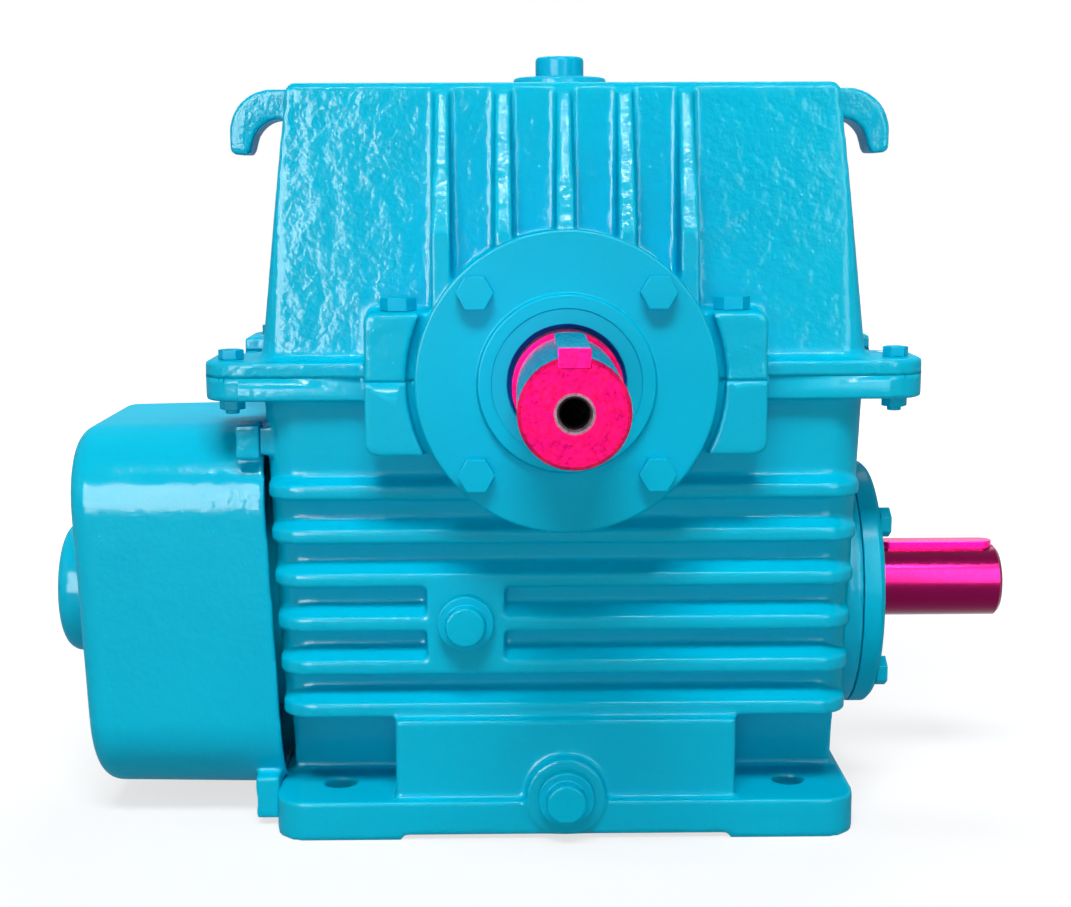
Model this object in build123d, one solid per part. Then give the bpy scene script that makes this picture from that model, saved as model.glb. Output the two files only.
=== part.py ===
"""Under-driven worm gearbox, 144 mm centres, with a split cast case and a shaft-mounted cooling fan.

Millimetres, +Z up. The origin lies on the foot plane, below the middle of the worm wheel.
The worm lies along X: its input extension points to +X and its fan to -X.
The wheel shaft lies along Y and its output extension points to -Y.
"""
from build123d import *
from math import acos, atan2, cos, degrees, pi, radians, sin, sqrt, tan
import os

os.makedirs("parts", exist_ok=True)

# Gear set
MODULE = 6.0
WORM_STARTS = 2
WORM_QUOTIENT = 10
WHEEL_TEETH = 38
PRESSURE_ANGLE = 20.0
ROOT_FACTOR = 1.2
THREAD_LENGTH = 80.0
WHEEL_FACE = 46.0
WHEEL_RIM_WALL = 12.0
TOOTH_PLAY = 1.0

WORM_PITCH_R = MODULE * WORM_QUOTIENT / 2
WORM_TIP_R = WORM_PITCH_R + MODULE
WORM_ROOT_R = WORM_PITCH_R - ROOT_FACTOR * MODULE
WHEEL_PITCH_R = MODULE * WHEEL_TEETH / 2
THROAT_R = WHEEL_PITCH_R + MODULE
WHEEL_TIP_R = THROAT_R + MODULE / 2
WHEEL_ROOT_R = WHEEL_PITCH_R - ROOT_FACTOR * MODULE
CENTRE_DISTANCE = WORM_PITCH_R + WHEEL_PITCH_R
LEAD = pi * MODULE * WORM_STARTS

# Shaft heights above the foot plane
WORM_Z = 125.0
WHEEL_Z = WORM_Z + CENTRE_DISTANCE

# Clearances
SEAT = 0.05
RUN = 0.3
SEAL_GAP = 0.08
BOLT_PLAY = 0.5
GASKET_T = 0.5

# Case castings, split on the wheel axis
WALL = 11.0
CASE_HALF_X = 174.5
CASE_HALF_Y = 106.0
CASE_CORNER_R = 14.0
UPPER_HEIGHT = 165.0
UPPER_TAPER = 6.2
LOWER_TAPER = 2.5
TOP_EDGE_R = 5.0
FLANGE_HALF_X = CASE_HALF_X + 31.0
FLANGE_HALF_Y = CASE_HALF_Y + 8.0
FLANGE_LIP = 8.0
EAR_LENGTH = 60.0
EAR_R = 10.0
FLANGE_CORNER_R = 20.0
FLANGE_UP = 9.0
FLANGE_DOWN = 13.5
FLANGE_FILLET = 9.0
SPLIT_Z = WHEEL_Z
TOP_Z = SPLIT_Z + UPPER_HEIGHT

# Feet and sump
BASE_T = 23.0
BASE_HALF_X = CASE_HALF_X - 5.0
BASE_HALF_Y = CASE_HALF_Y + 18.0
BASE_CORNER_R = 20.0
BASE_RELIEF = 3.0
BASE_RELIEF_X = 95.0
FOOT_HOLE_R = 9.5
FOOT_HOLE_X = BASE_HALF_X - 35.5
FOOT_HOLE_Y = BASE_HALF_Y - 37.0
BLOCK_HALF_X = 98.8
BLOCK_HALF_Y = CASE_HALF_Y + 12.0
POCKET_Y = CASE_HALF_Y - 44.0
SUMP_FLOOR = 16.0

# Cooling fins on the lower case
FIN_COUNT = 6
FIN_PITCH = 25.7
FIN_EDGE = 8.0
FIN_SLOPE = 7.5
FIN_HALF_Y = CASE_HALF_Y + 6.0
FIN_CORNER_R = 20.0
LOWEST_FIN_Z = 70.0

# Ribs above the output bearings
RIB_COUNT = 5
RIB_PITCH = 34.4
RIB_TOP_W = 8.6
RIB_FOOT_W = 12.0
RIB_TOP_PROUD = 4.0

# Wheel shaft, its bearings and its covers
OUT_END_R = 27.5
OUT_END_LENGTH = 110.0
OUT_JOURNAL_R = 30.0
OUT_SEAT_R = 32.5
OUT_SHOULDER_R = 39.0
OUT_COLLAR_R = 47.0
WHEEL_SEAT_R = 37.5
OUT_CUP_R = 60.0
OUT_CUP_W = 20.0
OUT_CONE_W = 23.0
OUT_BEARING_T = 24.75
HUB_HALF = 41.0
HUB_R = 60.0
BEARING_FACE_Y = CASE_HALF_Y + 23.0
BEARING_BOSS_R = 81.5
COVER_R = 83.5
COVER_T = 16.0
COVER_SPIGOT = 14.0
COVER_BOLT_R = 70.5
RING_R = 48.5
RING_PROUD = 4.0
OUT_SEAL_R = 41.0
OUT_SEAL_W = 12.0
OUT_JOURNAL_PROUD = 16.0

# Clamping pads each side of the output bearings
PAD_HALF_X = 111.5
PAD_Y = BEARING_FACE_Y + 8.0
PAD_UP = 38.0
PAD_DOWN = 41.0
PAD_RELIEF_R = 88.5
PAD_BOLT_X = 93.5
PAD_BOLT_Y = PAD_Y - 23.0

# Worm shaft, its bearings and its covers
IN_END_R = 22.5
IN_END_LENGTH = 82.0
IN_JOURNAL_R = 25.0
IN_SEAT_R = 27.5
IN_SHOULDER_R = 32.0
IN_NECK_R = WORM_ROOT_R - 0.8
IN_CUP_R = 50.0
IN_CUP_W = 18.0
IN_CONE_W = 21.0
IN_BEARING_T = 22.75
WORM_FACE_X = CASE_HALF_X + 5.5
WORM_COVER_R = 76.5
WORM_COVER_T = 13.0
WORM_COVER_SPIGOT = 8.0
WORM_COVER_BOLT_R = 66.0
IN_SEAL_R = 36.0
IN_SEAL_W = 8.0
IN_JOURNAL_PROUD = 3.0

# Fan and fan cowl on the free end of the worm
FAN_SEAT_R = 19.0
FAN_SEAT_END = WORM_FACE_X + 84.0
FAN_R = 87.0
FAN_DISC_X = WORM_FACE_X + 32.0
FAN_DISC_T = 4.0
FAN_BLADE_W = 40.0
FAN_BLADES = 10
FAN_BLADE_T = 3.5
FAN_HUB_R = 30.0
COWL_HALF_Y = 98.0
COWL_HALF_Z = 112.0
COWL_CORNER_R = 50.0
COWL_TAPER = 1.0
COWL_WALL = 4.0
COWL_GAP = 2.5
COWL_END_X = CASE_HALF_X + 111.5
COWL_EDGE_R = 13.0
COWL_BOSS_R = 41.5
COWL_BOSS_X = COWL_END_X + 26.5
COWL_SLOTS = 14
COWL_SLOT_W = 7.0
COWL_SLOT_IN = 50.0
COWL_SLOT_OUT = 76.0

# Lugs of the cowl: the upper two on pads of the case, the lower two on the end of the base
LUG_HALF = 10.0
LUG_T = 14.0
LUG_Y = 88.0
LUG_SINK = 6.5
LUG_SINK_R = 8.4
UPPER_LUG_Z = 230.5
LOWER_LUG_Z = 14.7
UPPER_SEAT_X = CASE_HALF_X + 1.5
LOWER_SEAT_X = BASE_HALF_X

# Plugs
PLUG_THREAD_R = 10.0
PLUG_COLLAR_R = 16.3
PLUG_COLLAR_T = 4.0
PLUG_HEAD_R = 11.5
PLUG_HEAD_T = 8.0
PLUG_WASHER_T = 1.5
PLUG_SHANK = 18.0
LEVEL_X = -57.5
LEVEL_Z = 126.7
LEVEL_BLOCK_HALF = 22.5
DRAIN_Z = 26.0
DRAIN_BOSS_R = 23.0
DRAIN_BOSS_Y = BLOCK_HALF_Y + 8.0
FILLER_PAD_R = 28.5
FILLER_PAD_H = 7.0
FILLER_R = 14.7
FILLER_H = 12.4

# Fasteners: thread radius, width across flats, head height
M8 = (4.0, 13.0, 5.5)
M10 = (5.0, 16.0, 6.5)
M12 = (6.0, 18.0, 7.5)

# Cast lifting hooks
HOOK_HALF_Y = 15.0
HOOK_REACH = 32.0
HOOK_DROP = 39.0
HOOK_THICK = 18.0
HOOK_TIP_W = 13.0


def block(x0, x1, y0, y1, z0, z1):
    """A block between six planes."""
    middle = Pos((x0 + x1) / 2, (y0 + y1) / 2, (z0 + z1) / 2)
    return middle * Box(abs(x1 - x0), abs(y1 - y0), abs(z1 - z0))


def rod_x(radius, x0, x1, y=0.0, z=WORM_Z):
    """A round bar along X."""
    return Pos((x0 + x1) / 2, y, z) * Rot(0, 90, 0) * Cylinder(radius, abs(x1 - x0))


def rod_y(radius, y0, y1, x=0.0, z=WHEEL_Z):
    """A round bar along Y."""
    return Pos(x, (y0 + y1) / 2, z) * Rot(90, 0, 0) * Cylinder(radius, abs(y1 - y0))


def rod_z(radius, z0, z1, x, y):
    """A round bar along Z."""
    return Pos(x, y, (z0 + z1) / 2) * Cylinder(radius, abs(z1 - z0))


def turned_x(points, z=WORM_Z):
    """A piece turned about the worm axis from a profile of (x, radius) points."""
    profile = make_face(Polyline(*[(x, 0, z + r) for x, r in points], close=True))
    return revolve(profile, axis=Axis((0, 0, z), (1, 0, 0)))


def turned_y(points, z=WHEEL_Z):
    """A piece turned about the wheel axis from a profile of (y, radius) points."""
    profile = make_face(Polyline(*[(0, y, z + r) for y, r in points], close=True))
    return revolve(profile, axis=Axis((0, 0, z), (0, 1, 0)))


def plate(half_x, half_y, corner, z0, z1, taper=0.0):
    """A level plate with rounded corners; a positive taper draws it in towards the top."""
    outline = Pos(0, 0, z0) * RectangleRounded(2 * half_x, 2 * half_y, corner)
    return extrude(outline, amount=z1 - z0, taper=taper)


def hex_bolt(size, grip, length):
    """A hexagon-head bolt hanging down -Z, with the underside of its head at the origin."""
    radius, flats, head = size
    cap = extrude(RegularPolygon(flats / 2, 6, major_radius=False), amount=head)
    shank = Pos(0, 0, -(grip + length) / 2) * Cylinder(radius, grip + length)
    return cap + shank


def facing_x(side, x, y, z):
    """A place on an end of the case: local +Z points out along X on the given side."""
    return Pos(side * x, y, z) * Rot(0, 90 * side, 0)


def facing_y(side, x, y, z):
    """A place on the front (side -1) or back (side 1): local +Z points out along Y."""
    return Pos(x, side * y, z) * Rot(-90 * side, 0, 0)


def ring_places(radius, count=4, first=45.0):
    """Offsets of evenly spaced points round a circle."""
    angles = [radians(first + 360 * i / count) for i in range(count)]
    return [(radius * cos(a), radius * sin(a)) for a in angles]


def case_half_x(z):
    """Half-length of the lower case at a height."""
    return CASE_HALF_X - (SPLIT_Z - z) * tan(radians(LOWER_TAPER))


def lower_wall(inset, z0, z1, corner):
    """The lower case's drafted outline, set in by a distance, between two heights."""
    draft = (SPLIT_Z - z0) * tan(radians(LOWER_TAPER))
    half_x = CASE_HALF_X - inset - draft
    half_y = CASE_HALF_Y - inset - draft
    return plate(half_x, half_y, corner, z0, z1, -LOWER_TAPER)


def flange_plate(z0, z1):
    """The parting flange: an ear at each corner, scooped out between the ears at both ends."""
    outline = RectangleRounded(2 * FLANGE_HALF_X, 2 * FLANGE_HALF_Y, FLANGE_CORNER_R)
    depth = FLANGE_HALF_X - CASE_HALF_X - FLANGE_LIP
    for side in (-1, 1):
        outline -= Pos(side * FLANGE_HALF_X, 0) * RectangleRounded(
            2 * depth, 2 * (FLANGE_HALF_Y - EAR_LENGTH), EAR_R)
    return extrude(Pos(0, 0, z0) * outline, amount=z1 - z0)


def flange_places():
    """The four corner bolts of the parting flange."""
    inset = (FLANGE_HALF_X - CASE_HALF_X) * 0.45
    x = FLANGE_HALF_X - inset
    y = FLANGE_HALF_Y - inset * 1.7
    return [(sx * x, sy * y) for sx in (-1, 1) for sy in (-1, 1)]


def dowel_places():
    """The two dowels, each in an ear of the parting flange."""
    x = (CASE_HALF_X + FLANGE_HALF_X) / 2 + 1
    y = FLANGE_HALF_Y - EAR_LENGTH + 12
    return [(-x, y), (x, -y)]


def pad_places():
    """The four long bolts that clamp the output bearings."""
    return [(sx * PAD_BOLT_X, sy * PAD_BOLT_Y) for sx in (-1, 1) for sy in (-1, 1)]


def lug_places():
    """The cowl's lugs: the plane of the seat, then Y and Z of the bolt."""
    return [(seat, side * LUG_Y, z) for seat, z in (
        (UPPER_SEAT_X, UPPER_LUG_Z), (LOWER_SEAT_X, LOWER_LUG_Z)) for side in (-1, 1)]


def cowl_form(inset, end_x):
    """The cowl's drafted outline, set in by a distance, with its end parallel to the case's."""
    start = CASE_HALF_X - 15
    place = Plane((-start, 0, WORM_Z), x_dir=(0, 1, 0), z_dir=(-1, 0, 0))
    outline = place * RectangleRounded(2 * (COWL_HALF_Y - inset), 2 * (COWL_HALF_Z - inset),
                                       COWL_CORNER_R - inset)
    form = extrude(outline, amount=end_x - start + 15, dir=(-1, 0, 0), taper=COWL_TAPER)
    beyond = Pos(-50, 0, 0) * Box(100, 400, 400)
    return form - Pos(-end_x, 0, WORM_Z) * Rot(0, -LOWER_TAPER, 0) * beyond


def bearing_housing(sign):
    """Bosses and clamping pads for both output bearings, above (1) or below (-1) the split."""
    reach = PAD_UP if sign > 0 else PAD_DOWN
    z0, z1 = sorted((SPLIT_Z, SPLIT_Z + sign * reach))
    solid = None
    for side in (-1, 1):
        pads = block(-PAD_HALF_X, PAD_HALF_X, side * (CASE_HALF_Y - WALL), side * PAD_Y, z0, z1)
        edges = pads.edges().filter_by(Axis.Y).group_by(Axis.Z)[-1 if sign > 0 else 0]
        pads = fillet(edges, 6)
        pads -= rod_y(PAD_RELIEF_R, side * BEARING_FACE_Y, side * (PAD_Y + 1))
        boss = rod_y(BEARING_BOSS_R, side * (CASE_HALF_Y - WALL - 10), side * BEARING_FACE_Y)
        solid = pads + boss if solid is None else solid + pads + boss
    keep = block(-300, 300, -300, 300, SPLIT_Z, SPLIT_Z + sign * 300)
    return solid & keep


def bearing_bores():
    """Bores for the output bearings and the tapped holes round them."""
    cut = None
    for side in (-1, 1):
        tool = rod_y(OUT_CUP_R + SEAT, side * 60, side * (BEARING_FACE_Y + 1))
        for x, z in ring_places(COVER_BOLT_R):
            tool += rod_y(M12[0] + SEAT, side * (BEARING_FACE_Y - 24), side * (BEARING_FACE_Y + 1),
                          x, WHEEL_Z + z)
        cut = tool if cut is None else cut + tool
    return cut


def ribs():
    """Upright gussets from the output bearing bosses to the top edge, front and back."""
    top = TOP_Z - TOP_EDGE_R
    wall_y = CASE_HALF_Y - UPPER_HEIGHT * tan(radians(UPPER_TAPER))
    solid = None
    for side in (-1, 1):
        wedge = make_face(Polyline(
            (0, side * (wall_y - 3), top),
            (0, side * (wall_y + RIB_TOP_PROUD), top),
            (0, side * (BEARING_FACE_Y - 1), WHEEL_Z + BEARING_BOSS_R),
            (0, side * (BEARING_FACE_Y - 1), WHEEL_Z),
            (0, side * (wall_y - 3), WHEEL_Z), close=True))
        wedge = extrude(wedge, amount=120, dir=(1, 0, 0), both=True)
        for i in range(RIB_COUNT):
            x = (i - (RIB_COUNT - 1) / 2) * RIB_PITCH
            face = make_face(Polyline(
                (x - RIB_TOP_W / 2, 0, top), (x + RIB_TOP_W / 2, 0, top),
                (x + RIB_FOOT_W / 2, 0, WHEEL_Z), (x - RIB_FOOT_W / 2, 0, WHEEL_Z), close=True))
            rib = extrude(face, amount=200, dir=(0, side, 0)) & wedge
            solid = rib if solid is None else solid + rib
    return solid


def hooks():
    """Lifting hooks cast on both ends, level with the top."""
    root = CASE_HALF_X - UPPER_HEIGHT * tan(radians(UPPER_TAPER)) - 4
    tip = root + 4 + HOOK_REACH + 12
    low = TOP_Z - HOOK_DROP
    bend = tip - HOOK_TIP_W
    outline = [
        Line((root, 0, TOP_Z), (tip - 24, 0, TOP_Z)),
        ThreePointArc((tip - 24, 0, TOP_Z), (tip - 7, 0, TOP_Z - 8), (tip, 0, TOP_Z - 28)),
        Line((tip, 0, TOP_Z - 28), (tip, 0, low + 4)),
        ThreePointArc((tip, 0, low + 4), (tip - 1.2, 0, low + 1.2), (tip - 4, 0, low)),
        Line((tip - 4, 0, low), (bend + 2, 0, low)),
        Line((bend + 2, 0, low), (bend, 0, low + 5)),
        ThreePointArc((bend, 0, low + 5), (bend - 5, 0, TOP_Z - HOOK_THICK - 5),
                      (bend - 16, 0, TOP_Z - HOOK_THICK)),
        Line((bend - 16, 0, TOP_Z - HOOK_THICK), (root, 0, TOP_Z - HOOK_THICK - 2)),
        Line((root, 0, TOP_Z - HOOK_THICK - 2), (root, 0, TOP_Z)),
    ]
    hook = extrude(make_face(outline), amount=HOOK_HALF_Y, dir=(0, 1, 0), both=True)
    return hook + mirror(hook, about=Plane.YZ)


def upper_case():
    """The top casting: a drafted hood with ribs, hooks and the upper bearing halves."""
    hood = plate(CASE_HALF_X, CASE_HALF_Y, CASE_CORNER_R, SPLIT_Z, TOP_Z, UPPER_TAPER)
    hood = fillet(hood.faces().sort_by(Axis.Z)[-1].edges(), TOP_EDGE_R)
    body = hood + flange_plate(SPLIT_Z, SPLIT_Z + FLANGE_UP)
    joint = [e for e in body.edges()
             if abs(e.center().Z - SPLIT_Z - FLANGE_UP) < 0.01
             and abs(e.center().X) < CASE_HALF_X and abs(e.center().Y) < CASE_HALF_Y]
    body = fillet(joint, FLANGE_FILLET * 0.7)
    body += bearing_housing(1)
    body += ribs()
    body += hooks()
    body += rod_z(FILLER_PAD_R, TOP_Z - WALL, TOP_Z + FILLER_PAD_H, 0, 0)
    cavity = plate(CASE_HALF_X - WALL, CASE_HALF_Y - WALL, CASE_CORNER_R, SPLIT_Z - 1,
                   TOP_Z - WALL, UPPER_TAPER)
    bosses = bearing_housing(1) & block(-300, 300, -CASE_HALF_Y, CASE_HALF_Y, SPLIT_Z, TOP_Z)
    body -= cavity - bosses
    body -= bearing_bores()
    body -= rod_z(PLUG_THREAD_R + SEAT, TOP_Z - WALL - 1, TOP_Z + FILLER_PAD_H + 1, 0, 0)
    for x, y in flange_places():
        body -= rod_z(M8[0] + BOLT_PLAY, SPLIT_Z - 1, SPLIT_Z + FLANGE_UP + 1, x, y)
    for x, y in pad_places():
        body -= rod_z(M12[0] + BOLT_PLAY, SPLIT_Z - 1, SPLIT_Z + PAD_UP + 1, x, y)
    for x, y in dowel_places():
        body -= rod_z(M10[0] + SEAT, SPLIT_Z - 1, SPLIT_Z + FLANGE_UP + 1, x, y)
    return body


def fins():
    """Level cooling fins right round the lower case, with sloping tops."""
    solid = None
    for i in range(FIN_COUNT):
        z = LOWEST_FIN_Z + i * FIN_PITCH
        edge = plate(case_half_x(z), FIN_HALF_Y, FIN_CORNER_R, z, z + FIN_EDGE)
        slope = plate(case_half_x(z), FIN_HALF_Y, FIN_CORNER_R, z + FIN_EDGE,
                      z + FIN_EDGE + FIN_SLOPE, 60)
        solid = edge + slope if solid is None else solid + edge + slope
    return solid


def lower_case():
    """The bottom casting: sump, feet, fins, worm bearing bosses and the lower bearing halves."""
    body = lower_wall(0, BASE_T, SPLIT_Z, CASE_CORNER_R)
    body += fins()
    body += flange_plate(SPLIT_Z - FLANGE_DOWN, SPLIT_Z)
    body += bearing_housing(-1)
    for sx in (-1, 1):
        for sy in (-1, 1):
            body -= block(sx * BLOCK_HALF_X, sx * 300, sy * POCKET_Y, sy * 300, BASE_T - 1,
                          LOWEST_FIN_Z)
    body += plate(BASE_HALF_X, BASE_HALF_Y, BASE_CORNER_R, 0, BASE_T)
    body += block(-BLOCK_HALF_X, BLOCK_HALF_X, -BLOCK_HALF_Y, BLOCK_HALF_Y, 1, LOWEST_FIN_Z)
    body += rod_y(DRAIN_BOSS_R, -BLOCK_HALF_Y + WALL, -DRAIN_BOSS_Y, 0, DRAIN_Z)
    body += block(LEVEL_X - LEVEL_BLOCK_HALF, LEVEL_X + LEVEL_BLOCK_HALF, -CASE_HALF_Y + WALL,
                  -FIN_HALF_Y, LEVEL_Z - LEVEL_BLOCK_HALF, LEVEL_Z + LEVEL_BLOCK_HALF)
    for side in (-1, 1):
        body += rod_x(WORM_COVER_R, side * (WORM_FACE_X - 30), side * WORM_FACE_X)
        body += block(-UPPER_SEAT_X, -UPPER_SEAT_X + WALL, side * LUG_Y - LUG_HALF + 2,
                      side * LUG_Y + LUG_HALF - 2, UPPER_LUG_Z - LUG_HALF + 2,
                      UPPER_LUG_Z + LUG_HALF - 2)
    above = LOWEST_FIN_Z + WALL
    cavity = lower_wall(WALL, above, SPLIT_Z + 1, CASE_CORNER_R)
    bosses = bearing_housing(-1) & block(-300, 300, -CASE_HALF_Y, CASE_HALF_Y, 0, SPLIT_Z)
    for side in (-1, 1):
        bosses += rod_x(IN_CUP_R + WALL, side * (WORM_FACE_X - 38), side * WORM_FACE_X)
    sump_x = BLOCK_HALF_X - WALL
    sump_y = BLOCK_HALF_Y - 2 * WALL
    sump = block(-sump_x, sump_x, -sump_y, sump_y, SUMP_FLOOR, above + 1)
    body -= cavity - bosses
    body -= sump
    body -= bearing_bores()
    for side in (-1, 1):
        body -= rod_x(IN_CUP_R + SEAT, side * (WORM_FACE_X - 60), side * (WORM_FACE_X + 1))
        for y, z in ring_places(WORM_COVER_BOLT_R):
            body -= rod_x(M10[0] + SEAT, side * (WORM_FACE_X - 22), side * (WORM_FACE_X + 1),
                          y, WORM_Z + z)
    body -= block(-BASE_RELIEF_X, BASE_RELIEF_X, -BASE_HALF_Y - 5, BASE_HALF_Y + 5, -1, BASE_RELIEF)
    for sx in (-1, 1):
        for sy in (-1, 1):
            body -= rod_z(FOOT_HOLE_R, -1, BASE_T + 1, sx * FOOT_HOLE_X, sy * FOOT_HOLE_Y)
    body -= rod_y(PLUG_THREAD_R + SEAT, -sump_y + 1, -DRAIN_BOSS_Y - 1, 0, DRAIN_Z)
    body -= rod_y(PLUG_THREAD_R + SEAT, -CASE_HALF_Y + WALL + 12, -FIN_HALF_Y - 1, LEVEL_X, LEVEL_Z)
    for x, y in flange_places():
        body -= rod_z(M8[0] + BOLT_PLAY, SPLIT_Z - FLANGE_DOWN - 1, SPLIT_Z + 1, x, y)
    for x, y in pad_places():
        body -= rod_z(M12[0] + SEAT, SPLIT_Z - PAD_DOWN + 4, SPLIT_Z + 1, x, y)
    for x, y in dowel_places():
        body -= rod_z(M10[0] + SEAT, SPLIT_Z - FLANGE_DOWN - 1, SPLIT_Z + 1, x, y)
    for seat, y, z in lug_places():
        body -= rod_x(M8[0] + SEAT, -seat - 1, -seat + WALL, y, z)
    return body


def cover_bolt_holes(radius, bolt, face, thickness, rod, centre_z):
    """Clearance holes through a bolted cover."""
    cut = None
    for a, b in ring_places(radius):
        hole = rod(bolt[0] + BOLT_PLAY, face - thickness, face + thickness, a, centre_z + b)
        cut = hole if cut is None else cut + hole
    return cut


def output_cover(side):
    """Cover of an output bearing; the front one (side -1) is open for the shaft and its seal."""
    back = side * (BEARING_FACE_Y + GASKET_T)
    face = side * (BEARING_FACE_Y + GASKET_T + COVER_T)
    nose = side * (BEARING_FACE_Y - COVER_SPIGOT)
    spigot_r = OUT_CUP_R - SEAT
    inner_r = OUT_CUP_R - 10
    if side < 0:
        ring = face + side * RING_PROUD
        seat = ring - side * OUT_SEAL_W
        cover = turned_y([
            (nose, spigot_r), (back, spigot_r), (back, COVER_R), (face - side, COVER_R),
            (face, COVER_R - 1), (face, RING_R + 1), (ring, RING_R), (ring, OUT_SEAL_R + SEAT),
            (seat, OUT_SEAL_R + SEAT), (seat, OUT_JOURNAL_R + 4), (back, OUT_JOURNAL_R + 4),
            (back, inner_r), (nose, inner_r)])
    else:
        cover = turned_y([
            (nose, spigot_r), (back, spigot_r), (back, COVER_R), (face - side, COVER_R),
            (face, COVER_R - 1), (face, 0), (back, 0), (back, inner_r), (nose, inner_r)])
    return cover - cover_bolt_holes(COVER_BOLT_R, M12, back, COVER_T * 1.5, rod_y, WHEEL_Z)


def worm_cover(side):
    """Cover of a worm bearing, bored for the shaft and its seal."""
    back = side * (WORM_FACE_X + GASKET_T)
    face = side * (WORM_FACE_X + GASKET_T + WORM_COVER_T)
    nose = side * (WORM_FACE_X - WORM_COVER_SPIGOT)
    seat = face - side * IN_SEAL_W
    cover = turned_x([
        (nose, IN_CUP_R - SEAT), (back, IN_CUP_R - SEAT), (back, WORM_COVER_R),
        (face - side * 3, WORM_COVER_R), (face, WORM_COVER_R - 3), (face, IN_SEAL_R + SEAT),
        (seat, IN_SEAL_R + SEAT), (seat, IN_JOURNAL_R + 3), (back, IN_JOURNAL_R + 3),
        (back, IN_CUP_R - 8), (nose, IN_CUP_R - 8)])
    return cover - cover_bolt_holes(WORM_COVER_BOLT_R, M10, back, WORM_COVER_T * 1.5, rod_x, WORM_Z)


def gasket(rod, face, side, bore, bolt_r, bolt):
    """A ring of gasket sheet between a cover and its boss, inside the circle of bolts."""
    a, b = side * face, side * (face + GASKET_T)
    outer = bolt_r - bolt[0] - 2 * BOLT_PLAY
    return rod(outer, a, b) - rod(bore, a - side, b + side)


def seal(turned, face, side, outer, journal, width):
    """A lip seal: a cased ring, open to the shaft at the front, with a lip on the journal."""
    back = face - side * width
    mid = face - side * width * 0.55
    return turned([
        (face - side * 0.5, outer), (back, outer), (back, journal + 2.5),
        (mid, journal + SEAL_GAP), (mid + side * 1.5, journal + SEAL_GAP),
        (mid + side * 3, journal + 3), (face - side * 0.5, journal + 3)])


def bearing_cup(turned, back, side, outer, width, race):
    """Outer ring of a tapered roller bearing; its race opens towards the middle of the case."""
    front = back - side * width
    return turned([(back, outer), (front, outer), (front, race + 3.5), (back, race)])


def bearing_cone(turned, back, side, bore, width, total, race):
    """Inner ring with its cage and rollers, as the one lift-out piece it is."""
    inner = back - side * total
    outer = inner + side * width
    slope = 3.5 / (total - 4)
    shoulder = inner + side * 4
    roller_end = outer - side * 2
    low = race + 3.5 - RUN - abs(shoulder - (back - side * total)) * slope * 0.3
    return turned([
        (inner, bore + SEAT), (inner, race - 4), (shoulder, race - 4), (shoulder, low - 0.4),
        (roller_end, race - RUN - 0.4), (roller_end, race - 5), (outer, race - 6),
        (outer, bore + SEAT)])


OUT_CUP_BACK = BEARING_FACE_Y - COVER_SPIGOT
OUT_SHOULDER_Y = OUT_CUP_BACK - OUT_BEARING_T
OUT_RACE = OUT_CUP_R - 11
COVER_FACE_Y = BEARING_FACE_Y + GASKET_T + COVER_T
RING_FACE_Y = COVER_FACE_Y + RING_PROUD
OUT_STEP_Y = RING_FACE_Y + OUT_JOURNAL_PROUD
OUT_END_Y = OUT_STEP_Y + OUT_END_LENGTH
IN_CUP_BACK = WORM_FACE_X - WORM_COVER_SPIGOT
IN_SHOULDER_X = IN_CUP_BACK - IN_BEARING_T
IN_RACE = IN_CUP_R - 9
WORM_COVER_FACE_X = WORM_FACE_X + GASKET_T + WORM_COVER_T
IN_STEP_X = WORM_COVER_FACE_X + IN_JOURNAL_PROUD
IN_END_X = IN_STEP_X + IN_END_LENGTH

# Keys: width, height, depth in the shaft, length
OUT_KEY = (16.0, 10.0, 6.0, 90.0)
WHEEL_KEY = (20.0, 12.0, 7.5, 70.0)
IN_KEY = (14.0, 9.0, 5.5, 72.0)
FAN_KEY = (10.0, 8.0, 5.0, 40.0)
KEY_INSET = 3.0


def key_y(key, radius, y0, y1, grow=0.0):
    """A key along Y in the top of the wheel shaft; growing it makes its keyway cutter."""
    width, height, depth, _ = key
    bottom = WHEEL_Z + radius - depth
    bar = block(-width / 2 - grow, width / 2 + grow, y0, y1, bottom, bottom + height + grow)
    ends = bar.edges().filter_by(Axis.Z).group_by(Axis.Y)[-1]
    return fillet(ends, width / 2 - 0.1)


def key_x(key, radius, x0, x1, grow=0.0):
    """A round-ended key along X in the top of the worm shaft, or its keyway cutter."""
    width, height, depth, _ = key
    bottom = WORM_Z + radius - depth
    bar = block(x0, x1, -width / 2 - grow, width / 2 + grow, bottom, bottom + height + grow)
    return fillet(bar.edges().filter_by(Axis.Z), width / 2 - 0.1)


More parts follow.
